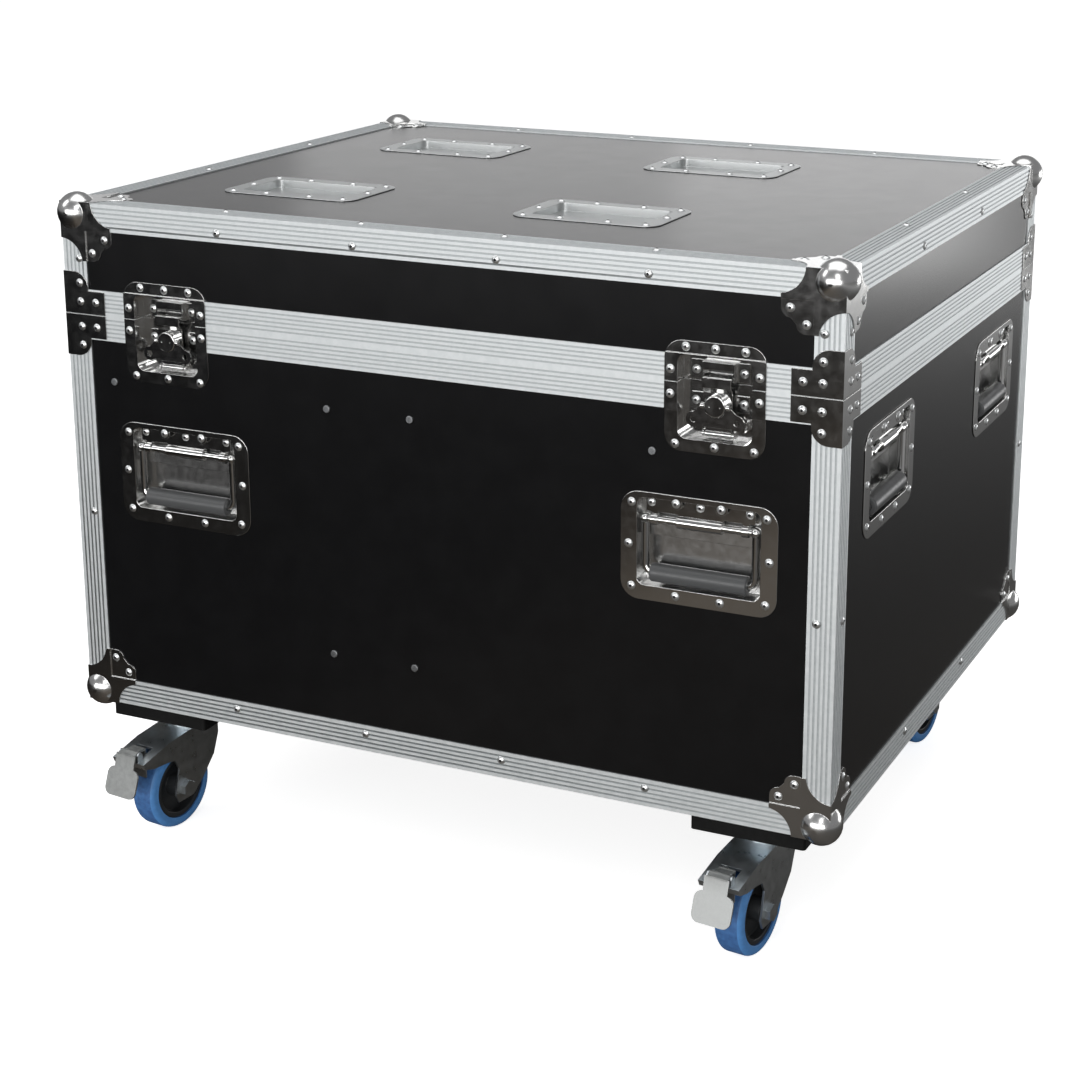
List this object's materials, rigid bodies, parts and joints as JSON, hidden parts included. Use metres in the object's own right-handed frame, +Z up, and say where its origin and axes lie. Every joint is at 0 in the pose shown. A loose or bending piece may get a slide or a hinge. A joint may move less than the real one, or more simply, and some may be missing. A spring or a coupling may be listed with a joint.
{
  "type": "lighting flight case",
  "caption": "Black panelled flight case with ribbed aluminium edges, ball corners, butterfly latches, recessed handles, stacking dishes in the lid and braked castors.",
  "frame": {"origin": "on the floor, at the middle of the box that holds the whole case as it stands", "axes": "+Z up, +X along the front to the right as seen from the front, -Y out of the front"},
  "size_m": [0.9186, 0.8058, 0.7445],
  "materials": {
    "panel_black": "plywood faced with fine-textured black laminate, satin",
    "board_black": "plywood painted black, matte",
    "edge_aluminium": "rolled ribs, satin anodised",
    "bright_steel": "bright plated steel",
    "zinc_steel": "pressed steel, bright zinc",
    "pedal_steel": "pressed steel, dull zinc",
    "spring_steel": "dull steel",
    "tyre_blue": "blue elastic rubber, matte",
    "hub_black": "moulded, matte black",
    "grip_rubber": "moulded, matte black"
  },
  "bodies": {
    "base": {"bottom_panel": "panel_black", "front_panel": "panel_black", "back_panel": "panel_black", "left_panel": "panel_black", "right_panel": "panel_black", "base_edge_angles": "edge_aluminium", "base_closure_frame": "edge_aluminium", "base_ball_corners": "bright_steel", "base_corner_braces": "bright_steel", "base_rivets": "bright_steel", "castor_boards": "board_black", "castor_plates": "zinc_steel", "castor_bolts": "zinc_steel", "handle_dishes": "bright_steel", "handle_hinge_plates": "bright_steel", "handle_springs": "spring_steel", "latch_dishes": "bright_steel", "latch_base_plates": "bright_steel", "partition_walls": "panel_black", "partition_screws": "spring_steel", "base_hinge_leaves": "bright_steel"},
    "lid": {"lid_top_panel": "panel_black", "lid_side_panels": "panel_black", "lid_edge_angles": "edge_aluminium", "lid_closure_frame": "edge_aluminium", "lid_ball_corners": "bright_steel", "lid_corner_braces": "bright_steel", "lid_rivets": "bright_steel", "wheel_dishes": "bright_steel", "lid_latch_dishes": "bright_steel", "latch_keepers": "bright_steel", "lid_hinge_leaves": "bright_steel"},
    "latch_left_carrier": {"latch_left_carrier": "bright_steel"},
    "latch_left_hook": {"latch_left_hook": "bright_steel"},
    "latch_left_spindle": {"latch_left_spindle": "bright_steel"},
    "latch_left_wing": {"latch_left_wing": "bright_steel"},
    "latch_right_carrier": {"latch_right_carrier": "bright_steel"},
    "latch_right_hook": {"latch_right_hook": "bright_steel"},
    "latch_right_spindle": {"latch_right_spindle": "bright_steel"},
    "latch_right_wing": {"latch_right_wing": "bright_steel"},
    "handle_front_left_bail": {"handle_front_left_bail": "bright_steel"},
    "handle_front_right_bail": {"handle_front_right_bail": "bright_steel"},
    "handle_right_front_bail": {"handle_right_front_bail": "bright_steel"},
    "handle_right_back_bail": {"handle_right_back_bail": "bright_steel"},
    "handle_back_left_bail": {"handle_back_left_bail": "bright_steel"},
    "handle_back_right_bail": {"handle_back_right_bail": "bright_steel"},
    "handle_left_front_bail": {"handle_left_front_bail": "bright_steel"},
    "handle_left_back_bail": {"handle_left_back_bail": "bright_steel"},
    "castor_front_left_fork": {"castor_front_left_fork": "zinc_steel"},
    "castor_front_left_wheel": {"castor_front_left_wheel": "tyre_blue"},
    "castor_front_left_pedal": {"castor_front_left_pedal": "pedal_steel"},
    "castor_front_right_fork": {"castor_front_right_fork": "zinc_steel"},
    "castor_front_right_wheel": {"castor_front_right_wheel": "tyre_blue"},
    "castor_front_right_pedal": {"castor_front_right_pedal": "pedal_steel"},
    "castor_back_left_fork": {"castor_back_left_fork": "zinc_steel"},
    "castor_back_left_wheel": {"castor_back_left_wheel": "tyre_blue"},
    "castor_back_left_pedal": {"castor_back_left_pedal": "pedal_steel"},
    "castor_back_right_fork": {"castor_back_right_fork": "zinc_steel"},
    "castor_back_right_wheel": {"castor_back_right_wheel": "tyre_blue"},
    "castor_back_right_pedal": {"castor_back_right_pedal": "pedal_steel"}
  },
  "joints": [
    {"name": "lid_hinge", "type": "hinge", "parent": "base", "child": "lid", "pos_m": [0, 0.39795, 0.611], "axis": [-1, 0, 0], "range_deg": [0, 100]},
    {"name": "latch_left_swing", "type": "hinge", "parent": "base", "child": "latch_left_carrier", "pos_m": [-0.32, -0.33255, 0.559], "axis": [1, 0, 0], "range_deg": [-3, 12]},
    {"name": "latch_left_lift", "type": "slide", "parent": "latch_left_carrier", "child": "latch_left_hook", "axis": [0, 0, 1], "range_m": [0, 0.006]},
    {"name": "latch_left_turn", "type": "hinge", "parent": "latch_left_carrier", "child": "latch_left_spindle", "pos_m": [-0.32, -0.34455, 0.5895], "axis": [0, -1, 0], "range_deg": [0, 180]},
    {"name": "latch_left_fold", "type": "hinge", "parent": "latch_left_spindle", "child": "latch_left_wing", "pos_m": [-0.32, -0.3427, 0.5895], "axis": [-1, 0, 0], "range_deg": [0, 90]},
    {"name": "latch_right_swing", "type": "hinge", "parent": "base", "child": "latch_right_carrier", "pos_m": [0.32, -0.33255, 0.559], "axis": [1, 0, 0], "range_deg": [-3, 12]},
    {"name": "latch_right_lift", "type": "slide", "parent": "latch_right_carrier", "child": "latch_right_hook", "axis": [0, 0, 1], "range_m": [0, 0.006]},
    {"name": "latch_right_turn", "type": "hinge", "parent": "latch_right_carrier", "child": "latch_right_spindle", "pos_m": [0.32, -0.34455, 0.5895], "axis": [0, -1, 0], "range_deg": [0, 180]},
    {"name": "latch_right_fold", "type": "hinge", "parent": "latch_right_spindle", "child": "latch_right_wing", "pos_m": [0.32, -0.3427, 0.5895], "axis": [-1, 0, 0], "range_deg": [0, 90]},
    {"name": "handle_front_left_swing", "type": "hinge", "parent": "base", "child": "handle_front_left_bail", "pos_m": [-0.3045, -0.33805, 0.465], "axis": [-1, 0, 0], "range_deg": [0, 90], "stiffness_Nm_per_rad": 0.12, "springref_deg": -28.65},
    {"name": "handle_front_right_swing", "type": "hinge", "parent": "base", "child": "handle_front_right_bail", "pos_m": [0.3045, -0.33805, 0.465], "axis": [-1, 0, 0], "range_deg": [0, 90], "stiffness_Nm_per_rad": 0.12, "springref_deg": -28.65},
    {"name": "handle_right_front_swing", "type": "hinge", "parent": "base", "child": "handle_right_front_bail", "pos_m": [0.4435, -0.18205, 0.529], "axis": [0, -1, 0], "range_deg": [0, 90], "stiffness_Nm_per_rad": 0.12, "springref_deg": -28.65},
    {"name": "handle_right_back_swing", "type": "hinge", "parent": "base", "child": "handle_right_back_bail", "pos_m": [0.4435, 0.22795, 0.529], "axis": [0, -1, 0], "range_deg": [0, 90], "stiffness_Nm_per_rad": 0.12, "springref_deg": -28.65},
    {"name": "handle_back_left_swing", "type": "hinge", "parent": "base", "child": "handle_back_left_bail", "pos_m": [-0.3045, 0.38395, 0.465], "axis": [1, 0, 0], "range_deg": [0, 90], "stiffness_Nm_per_rad": 0.12, "springref_deg": -28.65},
    {"name": "handle_back_right_swing", "type": "hinge", "parent": "base", "child": "handle_back_right_bail", "pos_m": [0.3045, 0.38395, 0.465], "axis": [1, 0, 0], "range_deg": [0, 90], "stiffness_Nm_per_rad": 0.12, "springref_deg": -28.65},
    {"name": "handle_left_front_swing", "type": "hinge", "parent": "base", "child": "handle_left_front_bail", "pos_m": [-0.4435, -0.18205, 0.529], "axis": [0, 1, 0], "range_deg": [0, 90], "stiffness_Nm_per_rad": 0.12, "springref_deg": -28.65},
    {"name": "handle_left_back_swing", "type": "hinge", "parent": "base", "child": "handle_left_back_bail", "pos_m": [-0.4435, 0.22795, 0.529], "axis": [0, 1, 0], "range_deg": [0, 90], "stiffness_Nm_per_rad": 0.12, "springref_deg": -28.65},
    {"name": "castor_front_left_swivel", "type": "hinge", "parent": "base", "child": "castor_front_left_fork", "pos_m": [-0.3605, -0.27605, 0.118], "axis": [0, 0, 1], "continuous": true},
    {"name": "castor_front_left_roll", "type": "hinge", "parent": "castor_front_left_fork", "child": "castor_front_left_wheel", "pos_m": [-0.36538, -0.31575, 0.05], "axis": [0.9925, -0.1219, 0], "continuous": true},
    {"name": "castor_front_left_brake", "type": "hinge", "parent": "castor_front_left_fork", "child": "castor_front_left_pedal", "pos_m": [-0.37305, -0.37828, 0.11], "axis": [0.9925, -0.1219, 0], "range_deg": [0, 12]},
    {"name": "castor_front_right_swivel", "type": "hinge", "parent": "base", "child": "castor_front_right_fork", "pos_m": [0.3605, -0.27605, 0.118], "axis": [0, 0, 1], "continuous": true},
    {"name": "castor_front_right_roll", "type": "hinge", "parent": "castor_front_right_fork", "child": "castor_front_right_wheel", "pos_m": [0.35563, -0.31575, 0.05], "axis": [0.9925, -0.1219, 0], "continuous": true},
    {"name": "castor_front_right_brake", "type": "hinge", "parent": "castor_front_right_fork", "child": "castor_front_right_pedal", "pos_m": [0.34795, -0.37828, 0.11], "axis": [0.9925, -0.1219, 0], "range_deg": [0, 12]},
    {"name": "castor_back_left_swivel", "type": "hinge", "parent": "base", "child": "castor_back_left_fork", "pos_m": [-0.3605, 0.32195, 0.118], "axis": [0, 0, 1], "continuous": true},
    {"name": "castor_back_left_roll", "type": "hinge", "parent": "castor_back_left_fork", "child": "castor_back_left_wheel", "pos_m": [-0.36538, 0.28225, 0.05], "axis": [0.9925, -0.1219, 0], "continuous": true},
    {"name": "castor_back_left_brake", "type": "hinge", "parent": "castor_back_left_fork", "child": "castor_back_left_pedal", "pos_m": [-0.37305, 0.21972, 0.11], "axis": [0.9925, -0.1219, 0], "range_deg": [0, 12]},
    {"name": "castor_back_right_swivel", "type": "hinge", "parent": "base", "child": "castor_back_right_fork", "pos_m": [0.3605, 0.32195, 0.118], "axis": [0, 0, 1], "continuous": true},
    {"name": "castor_back_right_roll", "type": "hinge", "parent": "castor_back_right_fork", "child": "castor_back_right_wheel", "pos_m": [0.35563, 0.28225, 0.05], "axis": [0.9925, -0.1219, 0], "continuous": true},
    {"name": "castor_back_right_brake", "type": "hinge", "parent": "castor_back_right_fork", "child": "castor_back_right_pedal", "pos_m": [0.34795, 0.21972, 0.11], "axis": [0.9925, -0.1219, 0], "range_deg": [0, 12]}
  ],
  "couplings": [
    {"joint": "latch_left_lift", "follows": "latch_left_turn", "m_per_rad": 0.0019099},
    {"joint": "latch_right_lift", "follows": "latch_right_turn", "m_per_rad": 0.0019099}
  ]
}
